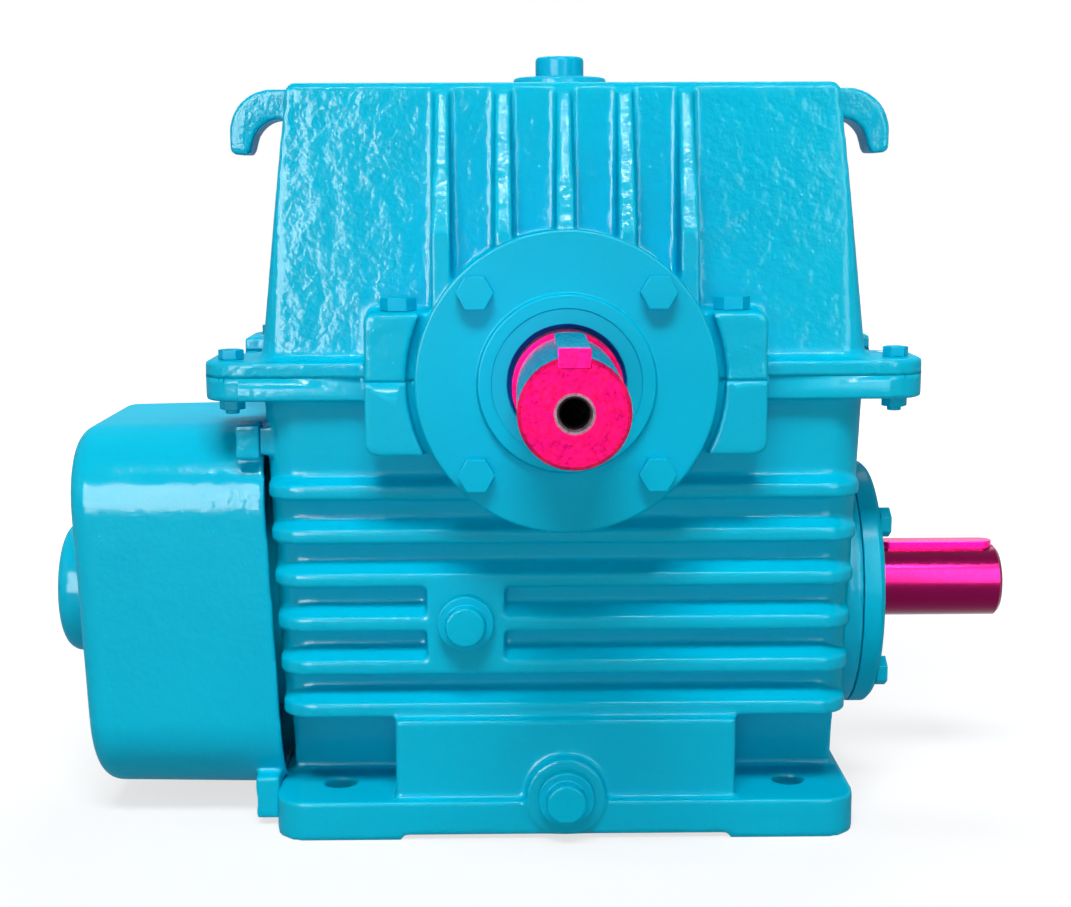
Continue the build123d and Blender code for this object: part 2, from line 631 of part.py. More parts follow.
def output_shaft():
    """Wheel shaft: output extension, seal journal, two bearing seats, collar and wheel seat."""
    end, step = -OUT_END_Y, -OUT_STEP_Y
    seat_end = -OUT_CUP_BACK - 2
    rear = OUT_CUP_BACK
    shaft = turned_y([
        (end, 0), (end, OUT_END_R - 2), (end + 2, OUT_END_R), (step, OUT_END_R),
        (step, OUT_JOURNAL_R), (seat_end, OUT_JOURNAL_R), (seat_end, OUT_SEAT_R),
        (-OUT_SHOULDER_Y, OUT_SEAT_R), (-OUT_SHOULDER_Y, OUT_SHOULDER_R),
        (-HUB_HALF - 16, OUT_SHOULDER_R), (-HUB_HALF - 16, OUT_COLLAR_R),
        (-HUB_HALF, OUT_COLLAR_R), (-HUB_HALF, WHEEL_SEAT_R), (HUB_HALF - 2, WHEEL_SEAT_R),
        (HUB_HALF - 2, OUT_SEAT_R), (rear - 1.5, OUT_SEAT_R), (rear, OUT_SEAT_R - 1.5), (rear, 0)])
    shaft -= key_y(OUT_KEY, OUT_END_R, end - 1, end + OUT_KEY[3], SEAT)
    half = WHEEL_KEY[3] / 2
    shaft -= key_y(WHEEL_KEY, WHEEL_SEAT_R, -half - SEAT, half + SEAT, SEAT)
    shaft -= turned_y([(end - 1, 0), (end - 1, 9.5), (end + 2, 7), (end + 36, 7), (end + 40, 0)])
    return shaft


def wheel_centre():
    """Cast-iron wheel centre: hub, web with holes, and a rim that carries the bronze ring."""
    rim_in = WHEEL_ROOT_R - WHEEL_RIM_WALL
    half = WHEEL_FACE / 2
    centre = turned_y([
        (-HUB_HALF, WHEEL_SEAT_R + SEAT), (-HUB_HALF, HUB_R), (-8, HUB_R + 3), (-8, rim_in - 14),
        (-half, rim_in - 12), (-half, rim_in - SEAT), (half - 14, rim_in - SEAT),
        (half - 14, rim_in - 18), (8, rim_in - 18), (8, HUB_R + 3), (HUB_HALF, HUB_R),
        (HUB_HALF, WHEEL_SEAT_R + SEAT)])
    for x, z in ring_places((HUB_R + rim_in - 14) / 2 + 1, 6, 0):
        centre -= rod_y(7, -10, 10, x, WHEEL_Z + z)
    for x, z in ring_places(rim_in - 9, 6, 30):
        centre -= rod_y(M8[0] + SEAT, -half - 1, half, x, WHEEL_Z + z)
    half_key = WHEEL_KEY[3] / 2
    centre -= key_y(WHEEL_KEY, WHEEL_SEAT_R, -HUB_HALF - 20, HUB_HALF + 20, SEAT)
    return centre


def tooth_half_angle(radius):
    """Half the angle that a wheel tooth spans at a radius, from the involute."""
    base = WHEEL_PITCH_R * cos(radians(PRESSURE_ANGLE))
    start = radians(PRESSURE_ANGLE)
    here = acos(min(1, base / radius))
    roll = (tan(here) - here) - (tan(start) - start)
    return (pi * MODULE / 2 - TOOTH_PLAY) / (2 * WHEEL_PITCH_R) - roll


def wheel_outline():
    """The toothed outline of the wheel in its middle plane."""
    pitch = 2 * pi / WHEEL_TEETH
    radii = [WHEEL_ROOT_R + 2.2, WHEEL_PITCH_R - 1, (WHEEL_PITCH_R + WHEEL_TIP_R) / 2, WHEEL_TIP_R]

    def at(radius, angle):
        return (radius * sin(angle), -radius * cos(angle))

    pieces = []
    for i in range(WHEEL_TEETH):
        mid = (i + 0.5) * pitch
        root = tooth_half_angle(radii[0]) + 0.006
        rising = [at(WHEEL_ROOT_R, mid - root)]
        rising += [at(r, mid - tooth_half_angle(r)) for r in radii]
        falling = [at(r, mid + tooth_half_angle(r)) for r in reversed(radii)]
        falling += [at(WHEEL_ROOT_R, mid + root)]
        following = at(WHEEL_ROOT_R, mid + pitch - root)
        pieces += [Polyline(*rising), Line(rising[-1], falling[0]), Polyline(*falling),
                   Line(falling[-1], following)]
    return make_face(pieces)


def worm_wheel_rim():
    """Bronze ring with helical, throated teeth, and an inner flange for its screws."""
    half = WHEEL_FACE / 2
    turn = degrees(WHEEL_FACE * tan(atan2(WORM_STARTS, WORM_QUOTIENT)) / WHEEL_PITCH_R)
    outline = Plane.XY * wheel_outline()
    blank = Solid.extrude_linear_with_rotation(
        outline.faces()[0], (0, 0, 0), (0, 0, WHEEL_FACE), turn)
    blank = Pos(0, 0, -half) * Rot(0, 0, -turn / 2) * blank
    teeth = Pos(0, 0, WHEEL_Z) * Rot(-90, 0, 0) * Rot(0, 0, 180) * blank
    rim_in = WHEEL_ROOT_R - WHEEL_RIM_WALL
    throat = CENTRE_DISTANCE - THROAT_R
    edge = sqrt(max(throat ** 2 - (CENTRE_DISTANCE - WHEEL_TIP_R) ** 2, 1))
    profile = [
        Line((0, -half, WHEEL_Z + rim_in), (0, -half, WHEEL_Z + WHEEL_TIP_R - 1)),
        Line((0, -half, WHEEL_Z + WHEEL_TIP_R - 1), (0, -half + 2, WHEEL_Z + WHEEL_TIP_R)),
        Line((0, -half + 2, WHEEL_Z + WHEEL_TIP_R), (0, -edge, WHEEL_Z + WHEEL_TIP_R)),
        ThreePointArc((0, -edge, WHEEL_Z + WHEEL_TIP_R), (0, 0, WHEEL_Z + THROAT_R),
                      (0, edge, WHEEL_Z + WHEEL_TIP_R)),
        Line((0, edge, WHEEL_Z + WHEEL_TIP_R), (0, half - 2, WHEEL_Z + WHEEL_TIP_R)),
        Line((0, half - 2, WHEEL_Z + WHEEL_TIP_R), (0, half, WHEEL_Z + WHEEL_TIP_R - 1)),
        Line((0, half, WHEEL_Z + WHEEL_TIP_R - 1), (0, half, WHEEL_Z + rim_in - 17)),
        Line((0, half, WHEEL_Z + rim_in - 17), (0, half - 14, WHEEL_Z + rim_in - 17)),
        Line((0, half - 14, WHEEL_Z + rim_in - 17), (0, half - 14, WHEEL_Z + rim_in)),
        Line((0, half - 14, WHEEL_Z + rim_in), (0, -half, WHEEL_Z + rim_in)),
    ]
    form = revolve(make_face(profile), axis=Axis((0, 0, WHEEL_Z), (0, 1, 0)))
    rim = teeth & form
    for x, z in ring_places(rim_in - 9, 6, 30):
        rim -= rod_y(M8[0] + BOLT_PLAY, half - 15, half + 1, x, WHEEL_Z + z)
    return rim


def rim_screws():
    """Six hexagon screws that hold the bronze ring on the wheel centre."""
    half = WHEEL_FACE / 2
    rim_in = WHEEL_ROOT_R - WHEEL_RIM_WALL
    return [facing_y(1, x, half, WHEEL_Z + z) * hex_bolt(M8, 14, 14)
            for x, z in ring_places(rim_in - 9, 6, 30)]


def thread_outline():
    """The worm's section square to its axis: one straight-sided thread for each start."""
    per_radian = LEAD / (2 * pi)
    flank = tan(radians(PRESSURE_ANGLE))
    radii = [WORM_ROOT_R, WORM_PITCH_R, WORM_TIP_R]
    step = 2 * pi / WORM_STARTS

    def at(radius, angle):
        return (radius * cos(angle), radius * sin(angle))

    def half(radius):
        return (pi * MODULE / 4 - (radius - WORM_PITCH_R) * flank) / per_radian

    pieces = []
    for i in range(WORM_STARTS):
        mid = i * step
        rising = [at(r, mid - half(r)) for r in radii]
        falling = [at(r, mid + half(r)) for r in reversed(radii)]
        following = at(WORM_ROOT_R, mid + step - half(WORM_ROOT_R))
        pieces += [
            Polyline(*rising),
            ThreePointArc(rising[-1], at(WORM_TIP_R, mid), falling[0]),
            Polyline(*falling),
            ThreePointArc(falling[-1], at(WORM_ROOT_R, mid + step / 2), following),
        ]
    return make_face(pieces)


def threads():
    """The worm's right-hand threads: its section twisted by the lead, with chamfered ends."""
    turn = degrees(2 * pi * THREAD_LENGTH / LEAD)
    twist = Solid.extrude_linear_with_rotation(
        thread_outline().faces()[0], (0, 0, 0), (0, 0, THREAD_LENGTH), turn)
    twist = Pos(0, 0, -THREAD_LENGTH / 2) * Rot(0, 0, 180 - turn / 2) * twist
    half = THREAD_LENGTH / 2
    low = WORM_TIP_R - MODULE
    form = turned_x([(-half - 1, 0), (-half - 1, low), (-half, low), (-half + MODULE + 1, WORM_TIP_R + 1),
                     (half - MODULE - 1, WORM_TIP_R + 1), (half, low), (half + 1, low), (half + 1, 0)])
    return (Pos(0, 0, WORM_Z) * Rot(0, 90, 0) * twist) & form


def worm_shaft():
    """Hardened worm cut in one piece with its shaft, on the input side longer than on the fan's."""
    fan_step = WORM_COVER_FACE_X + 4
    shaft = turned_x([
        (-FAN_SEAT_END, 0), (-FAN_SEAT_END, FAN_SEAT_R - 1.5), (-FAN_SEAT_END + 1.5, FAN_SEAT_R),
        (-fan_step, FAN_SEAT_R), (-fan_step, IN_JOURNAL_R), (-IN_CUP_BACK - 1, IN_JOURNAL_R),
        (-IN_CUP_BACK - 1, IN_SEAT_R), (-IN_SHOULDER_X, IN_SEAT_R),
        (-IN_SHOULDER_X, IN_SHOULDER_R), (-IN_SHOULDER_X + 9, IN_SHOULDER_R),
        (-IN_SHOULDER_X + 9, IN_NECK_R), (IN_SHOULDER_X - 9, IN_NECK_R),
        (IN_SHOULDER_X - 9, IN_SHOULDER_R), (IN_SHOULDER_X, IN_SHOULDER_R),
        (IN_SHOULDER_X, IN_SEAT_R), (IN_CUP_BACK + 1, IN_SEAT_R), (IN_CUP_BACK + 1, IN_JOURNAL_R),
        (IN_STEP_X, IN_JOURNAL_R), (IN_STEP_X, IN_END_R), (IN_END_X - 2, IN_END_R),
        (IN_END_X, IN_END_R - 2), (IN_END_X, 0)])
    shaft += threads()
    shaft -= key_x(IN_KEY, IN_END_R, IN_END_X - KEY_INSET - IN_KEY[3] - SEAT,
                   IN_END_X - KEY_INSET + SEAT, SEAT)
    shaft -= key_x(FAN_KEY, FAN_SEAT_R, -FAN_SEAT_END + 8 - SEAT, -FAN_SEAT_END + 8 + FAN_KEY[3] + SEAT,
                   SEAT)
    end = IN_END_X
    shaft -= turned_x([(end + 1, 0), (end + 1, 9.5), (end - 2, 7), (end - 36, 7), (end - 40, 0)])
    shaft -= rod_x(FAN_SEAT_R + 2, -FAN_SEAT_END + 2.4, -FAN_SEAT_END + 4.6) - rod_x(
        FAN_SEAT_R - 1, -FAN_SEAT_END + 2, -FAN_SEAT_END + 5)
    return shaft


def fan():
    """Cast fan: hub, back disc and straight radial blades, so that it works either way round."""
    disc0, disc1 = -FAN_DISC_X - FAN_DISC_T, -FAN_DISC_X
    blade0 = disc0 - FAN_BLADE_W
    hub0 = -FAN_SEAT_END + 5
    body = rod_x(FAN_HUB_R, hub0, disc1) + rod_x(FAN_R, disc0, disc1)
    for i in range(FAN_BLADES):
        blade = block(blade0, disc0 + 1, -FAN_BLADE_T / 2, FAN_BLADE_T / 2, FAN_HUB_R - 2, FAN_R - 1)
        body += Pos(0, 0, WORM_Z) * Rot(360 * i / FAN_BLADES + 18, 0, 0) * blade
    body -= rod_x(FAN_SEAT_R + SEAT, hub0 - 1, disc1 + 1)
    body -= key_x(FAN_KEY, FAN_SEAT_R, hub0 - 10, -FAN_SEAT_END + 8 + FAN_KEY[3] + 4, SEAT)
    return body


def fan_ring():
    """Retaining ring in the groove at the fan end of the worm shaft."""
    ring = rod_x(FAN_SEAT_R + 4, -FAN_SEAT_END + 2.5, -FAN_SEAT_END + 4.5)
    ring -= rod_x(FAN_SEAT_R - 0.9, -FAN_SEAT_END + 2, -FAN_SEAT_END + 5)
    return ring - block(-FAN_SEAT_END, -FAN_SEAT_END + 6, -4, 4, WORM_Z - 40, WORM_Z)


def fan_cowl():
    """Cast air cowl with an end boss, an inlet grille in its end and a lug at each corner."""
    shell = cowl_form(0, COWL_END_X)
    shell = fillet(shell.faces().sort_by(Axis.X)[0].edges(), COWL_EDGE_R)
    boss = rod_x(COWL_BOSS_R, -COWL_BOSS_X, -COWL_END_X + 2)
    boss = fillet(boss.faces().sort_by(Axis.X)[0].edges(), COWL_EDGE_R * 0.75)
    shell += boss
    inside = cowl_form(COWL_WALL, COWL_END_X - COWL_WALL)
    inside = fillet(inside.faces().sort_by(Axis.X)[0].edges(), COWL_EDGE_R - COWL_WALL)
    inside += rod_x(COWL_BOSS_R - COWL_WALL, -COWL_BOSS_X + COWL_WALL, -COWL_END_X + COWL_WALL + 3)
    shell -= inside
    rim_x = case_half_x(WORM_Z) + COWL_GAP
    shell -= Pos(-rim_x, 0, WORM_Z) * Rot(0, -LOWER_TAPER, 0) * Pos(50, 0, 0) * Box(100, 400, 400)
    shell -= plate(BASE_HALF_X + COWL_GAP, BASE_HALF_Y, BASE_CORNER_R, 0, BASE_T + COWL_GAP)
    for side in (-1, 1):
        y = side * LUG_Y
        shell -= block(-UPPER_SEAT_X, -CASE_HALF_X + WALL, y - LUG_HALF, y + LUG_HALF,
                       UPPER_LUG_Z - LUG_HALF, UPPER_LUG_Z + LUG_HALF)
    for seat, y, z in lug_places():
        inner = abs(y) - LUG_HALF - (8 if z < WORM_Z else 0)
        top = z + LUG_HALF + (5 if z < WORM_Z else 0)
        side = 1 if y > 0 else -1
        shell += block(-seat - LUG_T, -seat, side * inner, side * (abs(y) + LUG_HALF),
                       z - LUG_HALF, top)
    for seat, y, z in lug_places():
        shell -= rod_x(M8[0] + BOLT_PLAY, -seat - LUG_T - 1, -seat + 1, y, z)
        shell -= rod_x(LUG_SINK_R, -seat - LUG_T - 1, -seat - LUG_T + LUG_SINK, y, z)
    for i in range(COWL_SLOTS):
        slot = block(-COWL_END_X - 8, -COWL_END_X + COWL_WALL + 6, -COWL_SLOT_W / 2,
                     COWL_SLOT_W / 2, COWL_SLOT_IN, COWL_SLOT_OUT)
        shell -= Pos(0, 0, WORM_Z) * Rot(360 * (i + 0.5) / COWL_SLOTS, 0, 0) * slot
    return shell


def plug():
    """A collared screw plug hanging down -Z, with the underside of its collar at the origin."""
    collar = Pos(0, 0, PLUG_COLLAR_T / 2) * Cylinder(PLUG_COLLAR_R, PLUG_COLLAR_T)
    head = Pos(0, 0, (PLUG_COLLAR_T + PLUG_HEAD_T) / 2) * Cylinder(
        PLUG_HEAD_R, PLUG_COLLAR_T + PLUG_HEAD_T)
    head = chamfer(head.faces().sort_by(Axis.Z)[-1].edges(), 1)
    shank = Pos(0, 0, -PLUG_SHANK / 2) * Cylinder(PLUG_THREAD_R, PLUG_SHANK)
    return collar + head + shank


def plug_washer():
    """A flat sealing washer lying under a plug's collar."""
    sheet = Pos(0, 0, PLUG_WASHER_T / 2) * Cylinder(PLUG_COLLAR_R - 1, PLUG_WASHER_T)
    return sheet - Cylinder(PLUG_THREAD_R + SEAT, 4 * PLUG_WASHER_T)


def filler_plug():
    """Round vented filler plug in its boss on top of the case."""
    top = TOP_Z + FILLER_PAD_H
    head = rod_z(FILLER_R, top, top + FILLER_H, 0, 0)
    head = chamfer(head.faces().sort_by(Axis.Z)[-1].edges(), 1.5)
    return head + rod_z(PLUG_THREAD_R, top - WALL - 6, top, 0, 0)


def write(name, solids):
    """Write one sub-part, or a group of alike solids, to its own file."""
    shape = Compound(children=solids) if isinstance(solids, list) else solids
    export_step(shape, f"parts/{name}.step")


LEVEL_PLACE = facing_y(-1, LEVEL_X, FIN_HALF_Y, LEVEL_Z)
DRAIN_PLACE = facing_y(-1, 0, DRAIN_BOSS_Y, DRAIN_Z)

write("lower_case", lower_case())
write("upper_case", upper_case())

flange_grip = FLANGE_UP + FLANGE_DOWN
write("case_bolts", [Pos(x, y, SPLIT_Z + FLANGE_UP) * hex_bolt(M8, flange_grip, 9)
                     for x, y in flange_places()])
nut = extrude(RegularPolygon(M8[1] / 2, 6, major_radius=False), amount=-6.5)
nut -= Cylinder(M8[0] + SEAT, 30)
write("case_nuts", [Pos(x, y, SPLIT_Z - FLANGE_DOWN) * nut for x, y in flange_places()])
write("bearing_cap_bolts", [Pos(x, y, SPLIT_Z + PAD_UP) * hex_bolt(M12, PAD_UP, PAD_DOWN - 8)
                            for x, y in pad_places()])
write("case_dowels", [rod_z(M10[0], SPLIT_Z - FLANGE_DOWN, SPLIT_Z + FLANGE_UP, x, y)
                      for x, y in dowel_places()])

for side, place in ((-1, "front"), (1, "rear")):
    write(f"output_cover_{place}", output_cover(side))
    write(f"output_cover_bolts_{place}", [
        facing_y(side, x, COVER_FACE_Y, WHEEL_Z + z) * hex_bolt(M12, COVER_T, 20)
        for x, z in ring_places(COVER_BOLT_R)])
    write(f"output_bearing_cup_{place}",
          bearing_cup(turned_y, side * OUT_CUP_BACK, side, OUT_CUP_R, OUT_CUP_W, OUT_RACE))
    write(f"output_bearing_cone_{place}",
          bearing_cone(turned_y, side * OUT_CUP_BACK, side, OUT_SEAT_R, OUT_CONE_W,
                       OUT_BEARING_T, OUT_RACE))
write("output_cover_gaskets", [
    gasket(rod_y, BEARING_FACE_Y, side, OUT_CUP_R, COVER_BOLT_R, M12)
    for side in (-1, 1)])
write("output_seal", seal(turned_y, -RING_FACE_Y, -1, OUT_SEAL_R, OUT_JOURNAL_R, OUT_SEAL_W))

for side, place in ((1, "drive_end"), (-1, "fan_end")):
    write(f"worm_cover_{place}", worm_cover(side))
    write(f"worm_cover_bolts_{place}", [
        facing_x(side, WORM_COVER_FACE_X, y, WORM_Z + z) * hex_bolt(M10, WORM_COVER_T, 18)
        for y, z in ring_places(WORM_COVER_BOLT_R)])
    write(f"worm_bearing_cup_{place}",
          bearing_cup(turned_x, side * IN_CUP_BACK, side, IN_CUP_R, IN_CUP_W, IN_RACE))
    write(f"worm_bearing_cone_{place}",
          bearing_cone(turned_x, side * IN_CUP_BACK, side, IN_SEAT_R, IN_CONE_W,
                       IN_BEARING_T, IN_RACE))
    write(f"worm_seal_{place}",
          seal(turned_x, side * WORM_COVER_FACE_X, side, IN_SEAL_R, IN_JOURNAL_R, IN_SEAL_W))
write("worm_cover_gaskets", [
    gasket(rod_x, WORM_FACE_X, side, IN_CUP_R, WORM_COVER_BOLT_R, M10)
    for side in (-1, 1)])

write("filler_plug", filler_plug())
write("level_plug", LEVEL_PLACE * Pos(0, 0, PLUG_WASHER_T) * plug())
write("drain_plug", DRAIN_PLACE * Pos(0, 0, PLUG_WASHER_T) * plug())
write("plug_washers", [LEVEL_PLACE * plug_washer(), DRAIN_PLACE * plug_washer()])

write("output_shaft", output_shaft())
write("output_key", key_y(OUT_KEY, OUT_END_R, -OUT_END_Y, -OUT_END_Y + OUT_KEY[3] - SEAT))
write("wheel_key", key_y(WHEEL_KEY, WHEEL_SEAT_R, -WHEEL_KEY[3] / 2, WHEEL_KEY[3] / 2))
write("wheel_centre", wheel_centre())
write("worm_wheel_rim", worm_wheel_rim())
write("rim_screws", rim_screws())
write("wheel_spacer", rod_y(OUT_SHOULDER_R, HUB_HALF, OUT_SHOULDER_Y)
      - rod_y(OUT_SEAT_R + SEAT, HUB_HALF - 1, OUT_SHOULDER_Y + 1))

write("worm_shaft", worm_shaft())
write("input_key", key_x(IN_KEY, IN_END_R, IN_END_X - KEY_INSET - IN_KEY[3], IN_END_X - KEY_INSET))
write("fan_key", key_x(FAN_KEY, FAN_SEAT_R, -FAN_SEAT_END + 8, -FAN_SEAT_END + 8 + FAN_KEY[3]))
write("fan", fan())
write("fan_retaining_ring", fan_ring())
write("fan_cowl", fan_cowl())
write("cowl_bolts", [
    facing_x(-1, seat + LUG_T - LUG_SINK, y, z) * hex_bolt(M8, LUG_T - LUG_SINK, WALL - 1)
    for seat, y, z in lug_places()])
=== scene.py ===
"""Looks of the worm gearbox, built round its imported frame.

Cast and turned pieces keep their CAD form. Each is copied, its flat faces are joined, its edges are
rounded as thick enamel rounds them, and it gets the finish that its real counterpart has.
"""
import logging
import math
from dataclasses import dataclass, field
from enum import Enum

import bmesh
import bpy
from mathutils import Matrix, Vector

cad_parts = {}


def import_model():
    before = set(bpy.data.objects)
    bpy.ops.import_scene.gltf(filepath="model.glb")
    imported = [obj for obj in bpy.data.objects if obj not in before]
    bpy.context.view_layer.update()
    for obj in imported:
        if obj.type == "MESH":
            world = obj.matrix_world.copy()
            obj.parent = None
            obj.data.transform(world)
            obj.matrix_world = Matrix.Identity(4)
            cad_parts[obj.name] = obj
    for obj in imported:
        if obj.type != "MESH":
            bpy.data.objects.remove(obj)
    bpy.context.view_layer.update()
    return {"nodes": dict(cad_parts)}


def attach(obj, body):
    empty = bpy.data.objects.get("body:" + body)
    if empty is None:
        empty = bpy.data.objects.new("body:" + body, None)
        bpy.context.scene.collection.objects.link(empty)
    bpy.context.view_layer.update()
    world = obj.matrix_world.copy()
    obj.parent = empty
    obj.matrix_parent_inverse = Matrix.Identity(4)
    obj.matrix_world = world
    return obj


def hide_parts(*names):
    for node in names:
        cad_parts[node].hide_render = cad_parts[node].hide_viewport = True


LOG = logging.getLogger("worm_gearbox")
MM = 0.001
# the output shaft's axis lies in the face where the case halves meet
SPLIT_Z = 0.269
WORM_Z = 0.125
SHAFT_END_Y = -0.2755
# the shafts' threaded centre holes, and the chamfers round them
THREAD_R = 0.0076
CHAMFER_R = 0.0099
HOLE_EDGE = 0.0003
# turns per metre of the noises: rolls of cast iron, orange peel, pits and drifts of colour
CAST_SCALE = 75.0
PEEL_SCALE = 330.0
PIT_SCALE = 110.0
PATCH_SCALE = 9.0
# radians of ring per metre of radius, for facing rings 3 mm apart
RING_SCALE = 2100.0
FLOOR_HALF_M = 6.0


class Body(Enum):
    """The bodies that pieces ride on."""

    HOUSING = "housing"
    WHEEL_SHAFT = "wheel_shaft"
    WORM = "worm"


class Reach(Enum):
    """What a lamp acts on: everything, matt light alone or reflections alone, as a card does."""

    ALL = "all"
    MATT = "matt"
    GLOSS = "gloss"


def linear(value: str) -> tuple[float, float, float, float]:
    """Turns an sRGB hex value into the linear colour that the shader takes.

    Args:
        value: six hex digits with a leading #.

    Returns:
        Linear red, green, blue and an alpha of 1.
    """
    parts = [int(value[i:i + 2], 16) / 255 for i in (1, 3, 5)]
    out = [c / 12.92 if c <= 0.04045 else ((c + 0.055) / 1.055) ** 2.4 for c in parts]
    return (out[0], out[1], out[2], 1.0)


def add_node(tree: bpy.types.NodeTree, kind: str, settings: dict | None = None,
             links: dict | None = None) -> bpy.types.Node:
    """Adds one node with its settings and incoming links.

    Args:
        tree: the node tree that it goes into.
        kind: the node's bl_idname.
        settings: attributes, or input sockets where the key names one.
        links: input socket name or index to the output socket that feeds it.

    Returns:
        The new node.
    """
    node = tree.nodes.new(kind)
    for name, value in (settings or {}).items():
        if isinstance(name, str) and hasattr(node, name):
            setattr(node, name, value)
        else:
            node.inputs[name].default_value = value
    for name, source in (links or {}).items():
        tree.links.new(source, node.inputs[name])
    return node


def radius_about(tree: bpy.types.NodeTree, place: bpy.types.NodeSocket, axis: int,
                 centre_z: float) -> bpy.types.NodeSocket:
    """Measures how far each point is from a level shaft's axis.

    Args:
        tree: the material's node tree.
        place: object coordinates.
        axis: the shaft's direction, 0 for X or 1 for Y.
        centre_z: the height of its axis.

    Returns:
        The radius's socket.
    """
    squash = [1.0, 1.0, 1.0]
    squash[axis] = 0.0
    centre = add_node(tree, "ShaderNodeMapping", {"Location": (0.0, 0.0, -centre_z),
                                                  "Scale": squash}, {"Vector": place})
    return add_node(tree, "ShaderNodeVectorMath", {"operation": "LENGTH"},
                    {0: centre.outputs[0]}).outputs["Value"]


@dataclass(frozen=True)
class Finish:
    """What every finish has: its name, its colour and its gloss."""

    name: str
    colour: str
    roughness: float
    metallic: float = 0.0
    ior: float = 1.5
    specular: float = 0.5

    def start(self) -> tuple[bpy.types.Material, bpy.types.NodeTree, bpy.types.Node]:
        """Makes the material with its shader.

        Returns:
            The material, its node tree and its shader.
        """
        material = bpy.data.materials.new(self.name)
        material.use_nodes = True
        tree = material.node_tree
        tree.nodes.clear()
        shader = add_node(tree, "ShaderNodeBsdfPrincipled", {
            "Base Color": linear(self.colour), "Roughness": self.roughness,
            "Metallic": self.metallic, "IOR": self.ior,
            "Specular IOR Level": self.specular})
        add_node(tree, "ShaderNodeOutputMaterial", links={"Surface": shader.outputs[0]})
        return material, tree, shader

    def build(self) -> bpy.types.Material:
        """Builds the finish with no pattern."""
        return self.start()[0]


@dataclass(frozen=True)
class Enamel(Finish):
    """Glossy machinery enamel, sprayed thick over rough sand-cast iron."""

    specular: float = 0.0
    wave: float = 1.0
    peel: float = 1.0
    film: float = 0.13
    shade: str = "#008FB8"

    def build(self) -> bpy.types.Material:
        """Builds the enamel: cast waviness, orange peel, dust nibs and colour drift.

        Returns:
            The material.
        """
        material, tree, shader = self.start()
        place = add_node(tree, "ShaderNodeTexCoord").outputs["Object"]
        # sand-cast skin under the paint rolls by tenths of a millimetre over 8 to 15 mm
        cast = add_node(tree, "ShaderNodeTexNoise", {"Scale": CAST_SCALE, "Detail": 3.0,
                                                     "Roughness": 0.55}, {"Vector": place})
        # orange peel of a thick sprayed coat has cells of about 3 mm
        peel = add_node(tree, "ShaderNodeTexNoise", {"Scale": PEEL_SCALE, "Detail": 1.5,
                                                     "Roughness": 0.5}, {"Vector": place})
        # pits and nibs in the casting show through the paint as sparse small bumps
        pits = add_node(tree, "ShaderNodeTexVoronoi", {"Scale": PIT_SCALE, "Randomness": 1.0},
                        {"Vector": place})
        pit_mask = add_node(tree, "ShaderNodeMapRange", {1: 0.0, 2: 0.13, 3: 1.0, 4: 0.0},
                            {0: pits.outputs["Distance"]})
        # the paint stands thicker in broad patches, which makes some faces livelier
        patch = add_node(tree, "ShaderNodeTexNoise", {"Scale": PATCH_SCALE, "Detail": 2.0},
                         {"Vector": place})
        patch_mask = add_node(tree, "ShaderNodeMapRange", {1: 0.35, 2: 0.65, 3: 0.45, 4: 1.0},
                              {0: patch.outputs["Fac"]})
        wave = add_node(tree, "ShaderNodeMath", {"operation": "MULTIPLY"},
                        {0: cast.outputs["Fac"], 1: patch_mask.outputs[0]})
        low = add_node(tree, "ShaderNodeBump", {"Strength": 1.0, "Distance": 0.00055 * self.wave},
                       {"Height": wave.outputs[0]})
        fine = add_node(tree, "ShaderNodeBump", {"Strength": 1.0, "Distance": 0.00006 * self.peel},
                        {"Height": peel.outputs["Fac"], "Normal": low.outputs[0]})
        nib = add_node(tree, "ShaderNodeBump", {"Strength": 0.5, "Distance": 0.00012 * self.wave},
                       {"Height": pit_mask.outputs[0], "Normal": fine.outputs[0]})
        tree.links.new(nib.outputs[0], shader.inputs["Normal"])
        # the pigment is matt, and the thin clear film on top of it carries the gloss
        shader.inputs["Coat Weight"].default_value = self.film
        tree.links.new(nib.outputs[0], shader.inputs["Coat Normal"])
        # the coat is a touch deeper where it is thick, in the same broad patches
        drift = add_node(tree, "ShaderNodeMix", {"data_type": "RGBA", 6: linear(self.colour),
                                                 7: linear(self.shade)},
                         {0: add_node(tree, "ShaderNodeMapRange", {1: 0.3, 2: 0.7, 3: 0.0, 4: 0.22},
                                      {0: patch.outputs["Fac"]}).outputs[0]})
        tree.links.new(drift.outputs[2], shader.inputs["Base Color"])
        rough = add_node(tree, "ShaderNodeMapRange", {3: self.roughness * 0.8,
                                                      4: self.roughness * 1.35},
                         {0: cast.outputs["Fac"]})
        tree.links.new(rough.outputs[0], shader.inputs["Coat Roughness"])
        return material


